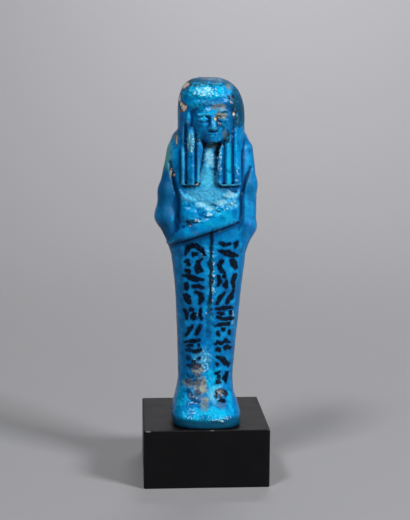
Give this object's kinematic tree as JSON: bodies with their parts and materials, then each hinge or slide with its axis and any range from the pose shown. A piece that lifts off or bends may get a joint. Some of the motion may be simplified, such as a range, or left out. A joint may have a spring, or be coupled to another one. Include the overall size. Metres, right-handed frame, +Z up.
{
  "type": "ushabti figurine",
  "caption": "Blue glazed mummy-shaped funerary figurine with a striped wig and crossed forearms, standing on a small square black block.",
  "frame": {"origin": "centre of the display block's underside", "axes": "+Z up the figure, from the underside to the crown; the figure faces -Y, and +X is to its viewer's right"},
  "size_m": [0.04, 0.04, 0.1291],
  "materials": {
    "faience": "bright blue alkaline glaze, glossy, with small pits, chips and pooled dark blue in the hollows",
    "black_wood": "black lacquer, satin, with slightly worn edges"
  },
  "bodies": {
    "root": {"figurine": "faience", "display_block": "black_wood"}
  },
  "joints": []
}
